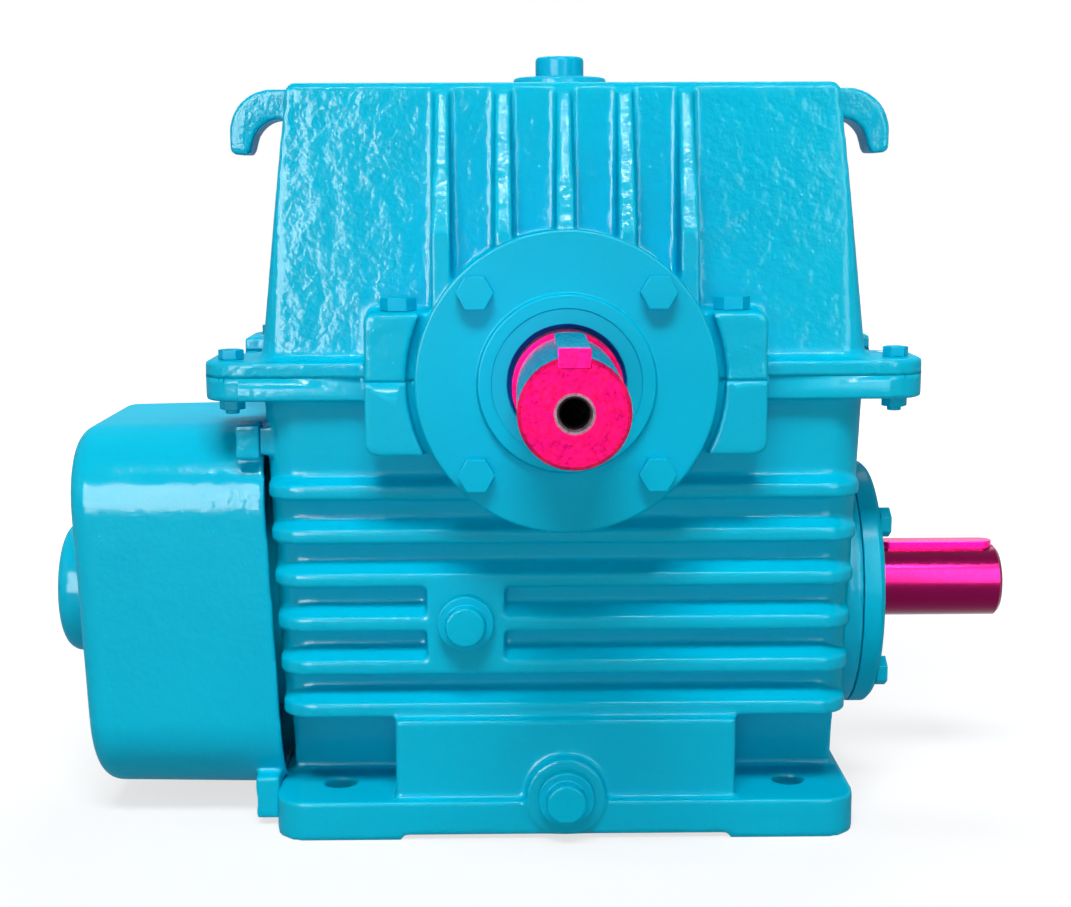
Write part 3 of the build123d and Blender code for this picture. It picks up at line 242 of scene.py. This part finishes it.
@dataclass(frozen=True)
class TurnedMetal(Finish):
    """Turned or ground metal: fine rings or lines along the tool's path, with clouded colour."""

    axis: int = 1
    groove: float = 0.5
    mottle: float = 0.0
    mottle_colour: str = "#8A0050"

    def build(self) -> bpy.types.Material:
        """Builds the metal with its tool marks and stains.

        Returns:
            The material.
        """
        material, tree, shader = self.start()
        place = add_node(tree, "ShaderNodeTexCoord").outputs["Object"]
        colour = self.dress(tree, shader, place)
        tree.links.new(colour, shader.inputs["Base Color"])
        return material

    def dress(self, tree: bpy.types.NodeTree, shader: bpy.types.Node,
              place: bpy.types.NodeSocket) -> bpy.types.NodeSocket:
        """Adds tool marks and works out the clouded colour.

        Args:
            tree: the material's node tree.
            shader: its shader.
            place: object coordinates.

        Returns:
            The colour's socket.
        """
        stretch = [12.0, 12.0, 12.0]
        stretch[self.axis] = 2600.0
        # lathe lines of about 0.4 mm, drawn coarser than the real feed so that they show
        scaled = add_node(tree, "ShaderNodeMapping", {"Scale": stretch}, {"Vector": place})
        lines = add_node(tree, "ShaderNodeTexNoise", {"Scale": 1.0, "Detail": 2.0},
                         {"Vector": scaled.outputs[0]})
        speck = add_node(tree, "ShaderNodeTexNoise", {"Scale": 420.0, "Detail": 3.0,
                                                      "Roughness": 0.6}, {"Vector": place})
        bump = add_node(tree, "ShaderNodeBump", {"Strength": 1.0,
                                                 "Distance": 0.00002 * self.groove},
                        {"Height": lines.outputs["Fac"]})
        tree.links.new(bump.outputs[0], shader.inputs["Normal"])
        rough = add_node(tree, "ShaderNodeMapRange", {1: 0.3, 2: 0.7, 3: self.roughness * 0.75,
                                                      4: self.roughness * 1.3},
                         {0: speck.outputs["Fac"]})
        tree.links.new(rough.outputs[0], shader.inputs["Roughness"])
        cloud = add_node(tree, "ShaderNodeTexNoise", {"Scale": 120.0, "Detail": 4.0,
                                                      "Roughness": 0.6}, {"Vector": place})
        amount = add_node(tree, "ShaderNodeMapRange", {1: 0.38, 2: 0.68, 3: 0.0, 4: self.mottle},
                          {0: cloud.outputs["Fac"]})
        mix = add_node(tree, "ShaderNodeMix", {"data_type": "RGBA", 6: linear(self.colour),
                                               7: linear(self.mottle_colour)},
                       {0: amount.outputs[0]})
        return mix.outputs[2]


@dataclass(frozen=True)
class LacqueredShaft(TurnedMetal):
    """A steel shaft whose open end is lacquered; its centre hole and its inside stay bare."""

    centre_z: float = 0.0
    bare_from: float = 0.0
    rings: float = 0.0
    ring_colour: str = "#8E0440"
    steel: str = "#62525A"
    # near black for oil and for painted shade inside the threaded centre hole
    oily: str = "#1A1618"
    # painted reflection of the turquoise case, laid on the side of the shaft and the key
    case_reflection_colour: str = "#007C9A"
    # the span along the axis that takes that painted reflection
    sprayed: tuple[float, float] = (1.0, 1.1)

    def build(self) -> bpy.types.Material:
        """Builds the lacquer and the bare steel on one piece.

        Returns:
            The material.
        """
        material, tree, shader = self.start()
        place = add_node(tree, "ShaderNodeTexCoord").outputs["Object"]
        lacquer = self.dress(tree, shader, place)
        radius = radius_about(tree, place, self.axis, self.centre_z)
        along = add_node(tree, "ShaderNodeSeparateXYZ", links={0: place}).outputs[self.axis]
        # the facing tool leaves rings about 3 mm apart on the end, and they hold the lacquer
        wave = add_node(tree, "ShaderNodeMath", {"operation": "SINE"}, {
            0: add_node(tree, "ShaderNodeMath", {"operation": "MULTIPLY", 1: RING_SCALE},
                        {0: radius}).outputs[0]})
        ringed = add_node(tree, "ShaderNodeMix", {"data_type": "RGBA",
                                                  7: linear(self.ring_colour)},
                          {0: add_node(tree, "ShaderNodeMapRange", {1: -1.0, 2: 1.0, 3: 0.0,
                                                                    4: self.rings},
                                       {0: wave.outputs[0]}).outputs[0], 6: lacquer})
        # painted reflection of the turquoise case: its colour lies along the side between two hard ends
        start, stop = (add_node(tree, "ShaderNodeMath", {"operation": kind, 1: edge}, {0: along})
                       for kind, edge in zip(("GREATER_THAN", "LESS_THAN"), self.sprayed))
        band = add_node(tree, "ShaderNodeMath", {"operation": "MULTIPLY"},
                        {0: start.outputs[0], 1: stop.outputs[0]})
        ringed = add_node(tree, "ShaderNodeMix", {"data_type": "RGBA", 7: linear(self.case_reflection_colour)},
                          {0: band.outputs[0], 6: ringed.outputs[2]})
        # the centre hole's chamfer is bare, and its thread is dark with oil and with painted shade of the
        # deep hole
        depth = add_node(tree, "ShaderNodeMapRange", {1: THREAD_R - HOLE_EDGE / 1.5,
                                                      2: THREAD_R + HOLE_EDGE / 1.5}, {0: radius})
        metal = add_node(tree, "ShaderNodeMix", {"data_type": "RGBA", 6: linear(self.oily),
                                                 7: linear(self.steel)}, {0: depth.outputs[0]})
        # no lacquer gets into the centre hole, nor past the seal
        hole = add_node(tree, "ShaderNodeMapRange", {1: CHAMFER_R - HOLE_EDGE,
                                                     2: CHAMFER_R + HOLE_EDGE, 3: 1.0, 4: 0.0},
                        {0: radius})
        inside = add_node(tree, "ShaderNodeMath", {
            "operation": "GREATER_THAN" if self.bare_from < 0 else "LESS_THAN",
            1: self.bare_from}, {0: along})
        bare = add_node(tree, "ShaderNodeMath", {"operation": "MAXIMUM"},
                        {0: hole.outputs[0], 1: inside.outputs[0]})
        mix = add_node(tree, "ShaderNodeMix", {"data_type": "RGBA"},
                       {0: bare.outputs[0], 6: ringed.outputs[2], 7: metal.outputs[2]})
        tree.links.new(mix.outputs[2], shader.inputs["Base Color"])
        return material


@dataclass(frozen=True)
class PaintedSeal(Finish):
    """A rubber shaft seal whose face took the enamel, with bare rubber at its lip."""

    centre_z: float = 0.0
    rubber: str = "#123A8C"
    lip_mm: float = 34.2

    def build(self) -> bpy.types.Material:
        """Builds the painted face and the bare lip.

        Returns:
            The material.
        """
        material, tree, shader = self.start()
        place = add_node(tree, "ShaderNodeTexCoord").outputs["Object"]
        radius = radius_about(tree, place, 1, self.centre_z)
        # the sprayed edge wanders by half a millimetre round the lip
        wander = add_node(tree, "ShaderNodeTexNoise", {"Scale": 90.0, "Detail": 2.0},
                          {"Vector": place})
        edge = add_node(tree, "ShaderNodeMath", {"operation": "MULTIPLY_ADD", 1: 0.001},
                        {0: wander.outputs["Fac"], 2: radius})
        painted = add_node(tree, "ShaderNodeMapRange", {
            1: self.lip_mm * MM, 2: (self.lip_mm + 0.8) * MM}, {0: edge.outputs[0]})
        mix = add_node(tree, "ShaderNodeMix", {"data_type": "RGBA", 6: linear(self.rubber),
                                               7: linear(self.colour)}, {0: painted.outputs[0]})
        tree.links.new(mix.outputs[2], shader.inputs["Base Color"])
        peel = add_node(tree, "ShaderNodeTexNoise", {"Scale": PEEL_SCALE, "Detail": 1.5},
                        {"Vector": place})
        bump = add_node(tree, "ShaderNodeBump", {"Strength": 1.0, "Distance": 0.00005},
                        {"Height": peel.outputs["Fac"]})
        tree.links.new(bump.outputs[0], shader.inputs["Normal"])
        return material


@dataclass(frozen=True)
class Grained(Finish):
    """Moulded, cast or pressed stuff with a fine grain."""

    grain_mm: float = 1.0
    depth_mm: float = 0.05
    other: str = "#000000"
    amount: float = 0.3

    def build(self) -> bpy.types.Material:
        """Builds the stuff with its grain in height and colour.

        Returns:
            The material.
        """
        material, tree, shader = self.start()
        place = add_node(tree, "ShaderNodeTexCoord").outputs["Object"]
        grain = add_node(tree, "ShaderNodeTexNoise", {"Scale": 1 / (self.grain_mm * MM),
                                                      "Detail": 4.0, "Roughness": 0.65},
                         {"Vector": place})
        bump = add_node(tree, "ShaderNodeBump", {"Strength": 1.0, "Distance": self.depth_mm * MM},
                        {"Height": grain.outputs["Fac"]})
        tree.links.new(bump.outputs[0], shader.inputs["Normal"])
        amount = add_node(tree, "ShaderNodeMapRange", {1: 0.35, 2: 0.7, 3: 0.0, 4: self.amount},
                          {0: grain.outputs["Fac"]})
        mix = add_node(tree, "ShaderNodeMix", {"data_type": "RGBA", 6: linear(self.colour),
                                               7: linear(self.other)}, {0: amount.outputs[0]})
        tree.links.new(mix.outputs[2], shader.inputs["Base Color"])
        return material


# machinery enamel: an alkyd paint sprayed wet on sand-cast iron, so it flows, shines and dapples
ENAMEL_HOOD = Enamel("turquoise machinery enamel on the hood", "#00B9D9", 0.12, wave=2.6)
# the lower casting was dressed smoother, so its reflections stay longer
ENAMEL_CASE = Enamel("turquoise machinery enamel on the sump", "#00B7D7", 0.13, wave=0.9)
# the cowl is a thin smooth casting, with a faint dapple
ENAMEL_COWL = Enamel("turquoise machinery enamel on the cowl", "#00B9D9", 0.12, wave=1.5)
# the same enamel over machined faces and bolt heads lies flatter
ENAMEL_FLAT = Enamel("turquoise enamel on machined iron", "#00B7D7", 0.2, wave=0.22, peel=0.8,
                     film=0.08)
# the output seal's face was sprayed with the case
SEAL_FACE = PaintedSeal("sprayed nitrile shaft seal", "#00B0D0", 0.3, specular=0.045,
                        centre_z=SPLIT_Z, lip_mm=32.8)
# magenta lacquer on the turned output end, with a painted reflection of the turquoise case along its side
SHAFT_COAT = LacqueredShaft("magenta lacquered turned steel", "#A8044F", 0.3, metallic=0.7,
                            specular=0.04, axis=1, mottle=0.85, mottle_colour="#E80C48", groove=0.3,
                            centre_z=SPLIT_Z, bare_from=-0.152, rings=0.45,
                            sprayed=(-0.2735, -0.167))
# the same on the worm's input end, whose tool marks run round X
WORM_COAT = LacqueredShaft("magenta lacquered ground steel", "#6C003A", 0.2, metallic=0.85, specular=0.3,
                           axis=0, mottle=0.25, mottle_colour="#700042", groove=0.08,
                           centre_z=WORM_Z, bare_from=0.19, rings=0.1)
KEY_COAT = TurnedMetal("magenta lacquered key steel", "#E40A8C", 0.25, metallic=0.7,
                       specular=0.2, axis=0, mottle=0.25, mottle_colour="#C0007A", groove=0.02)
# the output key takes the same painted reflection of the turquoise case, all but its end
OUTPUT_KEY_COAT = LacqueredShaft("magenta lacquered output key", "#C4066A", 0.28, metallic=0.6,
                                 specular=0.1, axis=1, mottle=0.4, mottle_colour="#E80C48",
                                 groove=0.1, centre_z=0.0, bare_from=-0.1,
                                 sprayed=(SHAFT_END_Y + 0.0012, -0.1))
# hardened bearing steel, ground
BEARING_STEEL = TurnedMetal("ground bearing steel", "#B9BCC2", 0.22, metallic=1.0, axis=1)
# nitrile rubber, moulded satin
SEAL_RUBBER = Grained("moulded nitrile rubber", "#14306E", 0.42, grain_mm=0.8, depth_mm=0.02,
                      other="#0A1C44", amount=0.6)
# phosphor bronze, hobbed
BRONZE = TurnedMetal("hobbed phosphor bronze", "#C08A45", 0.28, metallic=1.0, axis=1, mottle=0.3,
                     mottle_colour="#8C5A2A")
# grey cast iron, sand cast and oily
WHEEL_IRON = Grained("sand-cast grey iron", "#55575B", 0.5, metallic=0.6, grain_mm=1.2,
                     depth_mm=0.12, other="#34353A", amount=0.6)
# aluminium, die cast
FAN_ALUMINIUM = Grained("die-cast aluminium", "#B4B7BB", 0.42, metallic=0.9, grain_mm=0.8,
                        depth_mm=0.05, other="#8C8F94", amount=0.5)
# soft copper sealing ring
COPPER = TurnedMetal("soft copper sheet", "#C4764E", 0.35, metallic=1.0, axis=1, mottle=0.4,
                     mottle_colour="#7E452C")

MACHINED_NODES = (
    "output_cover_front", "output_cover_rear", "worm_cover_drive_end", "worm_cover_fan_end",
    "case_bolts", "case_nuts", "bearing_cap_bolts", "output_cover_bolts_front",
    "output_cover_bolts_rear", "worm_cover_bolts_drive_end", "worm_cover_bolts_fan_end",
    "cowl_bolts", "filler_plug", "level_plug", "drain_plug",
)


@dataclass
class Casting:
    """A sand casting: its CAD form with the soft corners and hollows that a mould gives."""

    node: str
    body: Body
    joint_z: float | None = None
    joint_fill_mm: float = 0.25
    voxel_mm: float = 1.6
    smoothing: int = 4
    most_triangles: int = 194000

    def build(self, source: bpy.types.Object) -> bpy.types.Object:
        """Builds the casting from its CAD node.

        Args:
            source: the CAD node's object.

        Returns:
            The softened piece, at rest in the row frame.
        """
        piece = bpy.data.objects.new(f"cast_{self.node}", source.data.copy())
        piece.data.materials.clear()
        bpy.context.scene.collection.objects.link(piece)
        merged = bmesh.new()
        merged.from_mesh(piece.data)
        bmesh.ops.remove_doubles(merged, verts=merged.verts, dist=1e-6)
        merged.to_mesh(piece.data)
        merged.free()
        grid = piece.modifiers.new("mould skin", "REMESH")
        grid.mode = "VOXEL"
        grid.voxel_size = self.voxel_mm * MM
        self.take(piece)
        soft = piece.modifiers.new("mould radii", "SMOOTH")
        soft.factor, soft.iterations = 0.5, self.smoothing
        if self.joint_z is not None:
            soft.vertex_group = self.close_joint(piece)
        self.take(piece)
        count = 2 * len(piece.data.polygons)
        thin = piece.modifiers.new("fewer triangles", "DECIMATE")
        thin.ratio = min(1.0, self.most_triangles / count)
        self.take(piece)
        piece.vertex_groups.clear()
        piece.data.shade_smooth()
        LOG.info("%s: %d triangles", piece.name, len(piece.data.polygons))
        return piece

    def close_joint(self, piece: bpy.types.Object) -> str:
        """Pulls the skin flat onto the parting face, where paint fills the joint.

        Args:
            piece: the casting, straight from the mould skin.

        Returns:
            The name of the group that lets the mould radii grow away from the joint.
        """
        group = piece.vertex_groups.new(name="away from the joint")
        near, far = 1.1 * self.voxel_mm * MM, 4.5 * self.voxel_mm * MM
        # read before the first move, since each later read would work every normal out anew
        sides = [Vector((*vertex.normal.xy, 0.0)) for vertex in piece.data.vertices]
        for vertex, outward in zip(piece.data.vertices, sides):
            gap = abs(vertex.co.z - self.joint_z)
            if gap < near:
                if 0.25 < outward.length < 0.97:
                    vertex.co += outward.normalized() * self.joint_fill_mm * MM
                vertex.co.z = self.joint_z
            group.add([vertex.index], min(1.0, max(0.0, (gap - near) / far)), "REPLACE")
        return group.name

    @staticmethod
    def take(piece: bpy.types.Object) -> None:
        """Applies a piece's modifiers to its mesh."""
        graph = bpy.context.evaluated_depsgraph_get()
        mesh = bpy.data.meshes.new_from_object(piece.evaluated_get(graph))
        piece.modifiers.clear()
        piece.data = mesh


@dataclass
class RoundedPiece:
    """A turned, milled or hexagonal piece whose sharp edges the paint has rounded."""

    node: str
    body: Body
    radius_mm: float = 1.0
    segments: int = 2

    def build(self, source: bpy.types.Object) -> bpy.types.Object:
        """Builds the piece from its CAD node.

        Args:
            source: the CAD node's object.

        Returns:
            The rounded piece, at rest in the row frame.
        """
        mesh = source.data.copy()
        mesh.materials.clear()
        shape = bmesh.new()
        shape.from_mesh(mesh)
        bmesh.ops.remove_doubles(shape, verts=shape.verts, dist=1e-6)
        bmesh.ops.dissolve_limit(shape, angle_limit=math.radians(0.5), verts=shape.verts,
                                 edges=shape.edges)
        sharp = [e for e in shape.edges if len(e.link_faces) == 2
                 and e.calc_face_angle(0.0) > math.radians(28)]
        bmesh.ops.bevel(shape, geom=sharp, offset=self.radius_mm * MM, offset_type="OFFSET",
                        segments=self.segments, profile=0.5, affect="EDGES", clamp_overlap=True,
                        material=-1)
        shape.to_mesh(mesh)
        shape.free()
        mesh.shade_smooth()
        piece = bpy.data.objects.new(f"rounded_{self.node}", mesh)
        bpy.context.scene.collection.objects.link(piece)
        normals = piece.modifiers.new("face weighted normals", "WEIGHTED_NORMAL")
        normals.weight = 60
        normals.keep_sharp = False
        return piece


@dataclass
class Gearbox:
    """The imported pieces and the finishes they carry."""

    nodes: dict
    finishes: dict = field(default_factory=dict)

    def replace(self, maker: Casting | RoundedPiece, finish: Finish) -> None:
        """Makes a piece that stands for a CAD node.

        Args:
            maker: what builds it.
            finish: what it is made of.
        """
        piece = maker.build(self.nodes[maker.node])
        piece.data.materials.append(self.finish_of(finish))
        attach(piece, maker.body.value)
        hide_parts(maker.node)
        LOG.info("%s stands for %s", piece.name, maker.node)

    def finish_of(self, finish: Finish) -> bpy.types.Material:
        """Builds a finish once and keeps it."""
        if finish.name not in self.finishes:
            self.finishes[finish.name] = finish.build()
        return self.finishes[finish.name]

    def dress(self, node: str, finish: Finish) -> None:
        """Gives a CAD node its finish.

        Args:
            node: the node's name.
            finish: what it is made of.
        """
        piece = self.nodes[node]
        piece.data.materials.clear()
        piece.data.materials.append(self.finish_of(finish))
        LOG.info("%s: %s", node, finish.name)

    def dress_all(self) -> None:
        """Gives every CAD node its finish."""
        self.replace(Casting("upper_case", Body.HOUSING, SPLIT_Z), ENAMEL_HOOD)
        self.replace(Casting("lower_case", Body.HOUSING, SPLIT_Z, voxel_mm=1.5, smoothing=3), ENAMEL_CASE)
        self.replace(Casting("fan_cowl", Body.HOUSING), ENAMEL_COWL)
        for node in MACHINED_NODES:
            self.replace(RoundedPiece(node, Body.HOUSING), ENAMEL_FLAT)
        self.replace(RoundedPiece("output_key", Body.WHEEL_SHAFT, 0.5), OUTPUT_KEY_COAT)
        self.replace(RoundedPiece("input_key", Body.WORM, 0.5), KEY_COAT)
        self.dress("output_shaft", SHAFT_COAT)
        self.dress("worm_shaft", WORM_COAT)
        for node in self.nodes:
            if "bearing_cup" in node or "bearing_cone" in node:
                self.dress(node, BEARING_STEEL)
            if "worm_seal" in node:
                self.dress(node, SEAL_RUBBER)
            if "gasket" in node:
                # sprayed over with the covers, so that only their rims show as a faint line
                self.dress(node, ENAMEL_FLAT)
        for node in ("rim_screws", "wheel_spacer", "wheel_key", "fan_key", "fan_retaining_ring",
                     "case_dowels"):
            self.dress(node, BEARING_STEEL)
        self.dress("output_seal", SEAL_FACE)
        self.dress("worm_wheel_rim", BRONZE)
        self.dress("wheel_centre", WHEEL_IRON)
        self.dress("fan", FAN_ALUMINIUM)
        self.dress("plug_washers", COPPER)


@dataclass
class Studio:
    """The floor, the lamps and the camera."""

    camera_at: Vector = field(default_factory=lambda: Vector((-0.02815, -1.1018, 0.3769)))
    pitch: float = 0.152
    yaw: float = 0.0114
    roll: float = -0.0038
    focal_px: float = 1760.0
    frame_px: float = 1071.0
    floor: str = "#8E9092"
    world_light: float = 0.07
    shadow_m: tuple[float, float] = (0.45, 0.95)
    lift: float = 0.7

    def camera(self) -> None:
        """Places the camera by the photograph's own perspective."""
        data = bpy.data.cameras.new("studio camera")
        data.sensor_width = 36.0
        data.lens = self.focal_px / self.frame_px * data.sensor_width
        data.clip_start, data.clip_end = 0.05, 50.0
        camera = bpy.data.objects.new("studio camera", data)
        bpy.context.scene.collection.objects.link(camera)
        level = Matrix.Rotation(math.pi / 2 - self.pitch, 4, "X")
        turn = Matrix.Rotation(-self.yaw, 4, "Z")
        tilt = Matrix.Rotation(self.roll, 4, "Z")
        camera.matrix_world = Matrix.Translation(self.camera_at) @ turn @ level @ tilt
        bpy.context.scene.camera = camera

    def ground(self) -> None:
        """Lays the plain pale floor, white where the camera sees it unshaded."""
        mesh = bpy.data.meshes.new("studio floor")
        shape = bmesh.new()
        bmesh.ops.create_grid(shape, x_segments=1, y_segments=1, size=FLOOR_HALF_M)
        shape.to_mesh(mesh)
        shape.free()
        floor = bpy.data.objects.new("studio floor", mesh)
        bpy.context.scene.collection.objects.link(floor)
        material = bpy.data.materials.new("matt white backdrop paper")
        material.use_nodes = True
        tree = material.node_tree
        shader = tree.nodes["Principled BSDF"]
        shader.inputs["Base Color"].default_value = linear(self.floor)
        shader.inputs["Roughness"].default_value = 0.9
        shader.inputs["Specular IOR Level"].default_value = 0.1
        place = add_node(tree, "ShaderNodeTexCoord").outputs["Object"]
        far = add_node(tree, "ShaderNodeVectorMath", {"operation": "LENGTH"}, {0: place})
        # the paper washes out to white away from the object, and keeps its shadow close by
        glow = add_node(tree, "ShaderNodeMapRange", {1: self.shadow_m[0], 2: self.shadow_m[1],
                                                     3: self.lift, 4: 1.0},
                        {0: far.outputs["Value"]})
        path = add_node(tree, "ShaderNodeLightPath")
        seen = add_node(tree, "ShaderNodeMath", {"operation": "MAXIMUM"}, {
            0: path.outputs["Is Camera Ray"], 1: path.outputs["Is Glossy Ray"]})
        white = add_node(tree, "ShaderNodeEmission", {"Color": (1.0, 1.0, 1.0, 1.0)})
        strength = add_node(tree, "ShaderNodeMath", {"operation": "MULTIPLY"},
                            {0: glow.outputs[0], 1: seen.outputs[0]})
        tree.links.new(strength.outputs[0], white.inputs["Strength"])
        both = add_node(tree, "ShaderNodeAddShader", links={0: shader.outputs[0],
                                                            1: white.outputs[0]})
        tree.links.new(both.outputs[0], tree.nodes["Material Output"].inputs["Surface"])
        mesh.materials.append(material)

    def lamp(self, name: str, at: Vector, size: tuple[float, float], watts: float,
             reach: Reach = Reach.ALL) -> None:
        """Hangs one soft box that faces the gearbox.

        Args:
            name: the lamp's name.
            at: where it hangs, in metres.
            size: its width and height in metres.
            watts: its power.
            reach: what it acts on.
        """
        data = bpy.data.lights.new(name, "AREA")
        data.shape = "RECTANGLE"
        data.size, data.size_y = size
        data.energy = watts
        lamp = bpy.data.objects.new(name, data)
        bpy.context.scene.collection.objects.link(lamp)
        lamp.location = at
        lamp.rotation_euler = (Vector((0.0, 0.0, 0.25)) - at).to_track_quat("-Z", "Y").to_euler()
        lamp.visible_diffuse = reach is not Reach.GLOSS
        lamp.visible_glossy = reach is not Reach.MATT

    def light(self) -> None:
        """Hangs the soft boxes and sets the even world light."""
        self.lamp("overhead soft box", Vector((-0.2, -1.9, 3.1)), (1.7, 0.8), 104.0, Reach.MATT)
        self.lamp("front fill", Vector((-0.1, -2.6, 0.3)), (1.2, 0.4), 13.0, Reach.MATT)
        self.lamp("rear soft box", Vector((0.2, 1.6, 1.9)), (1.4, 0.7), 30.0)
        self.lamp("left fill", Vector((-2.0, -0.7, 0.9)), (0.6, 0.9), 5.0)
        self.lamp("right fill", Vector((2.0, -0.7, 0.9)), (0.6, 0.9), 5.0)
        self.lamp("front left card", Vector((-1.35, -2.6, 0.98)), (1.7, 1.86), 480.0, Reach.GLOSS)
        self.lamp("front right card", Vector((1.2, -2.6, 1.35)), (0.9, 2.5), 130.0, Reach.GLOSS)
        self.lamp("fin strip", Vector((0.1, -1.6, 2.4)), (1.6, 0.12), 110.0, Reach.GLOSS)
        world = bpy.data.worlds.new("studio")
        bpy.context.scene.world = world
        world.use_nodes = True
        tree = world.node_tree
        tree.nodes.clear()
        lit = add_node(tree, "ShaderNodeBackground", {"Color": (1.0, 1.0, 1.0, 1.0),
                                                      "Strength": self.world_light})
        seen = add_node(tree, "ShaderNodeBackground", {"Color": (1.0, 1.0, 1.0, 1.0),
                                                       "Strength": 1.0})
        path = add_node(tree, "ShaderNodeLightPath")
        shiny = add_node(tree, "ShaderNodeMath", {"operation": "MAXIMUM"}, {
            0: path.outputs["Is Glossy Ray"], 1: path.outputs["Is Transmission Ray"]})
        direct = add_node(tree, "ShaderNodeMath", {"operation": "MAXIMUM"}, {
            0: path.outputs["Is Camera Ray"], 1: shiny.outputs[0]})
        mix = add_node(tree, "ShaderNodeMixShader", links={
            0: direct.outputs[0], 1: lit.outputs[0], 2: seen.outputs[0]})
        add_node(tree, "ShaderNodeOutputWorld", links={"Surface": mix.outputs[0]})

    def build(self) -> None:
        """Sets up the whole studio."""
        bpy.context.scene.view_settings.view_transform = "Standard"
        self.camera()
        self.ground()
        self.light()


def main() -> None:
    """Dresses the gearbox."""
    logging.basicConfig(level=logging.INFO, format="%(name)s: %(message)s")
    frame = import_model()
    Studio().build()
    Gearbox(frame["nodes"]).dress_all()


if __name__ == "__main__":
    main()
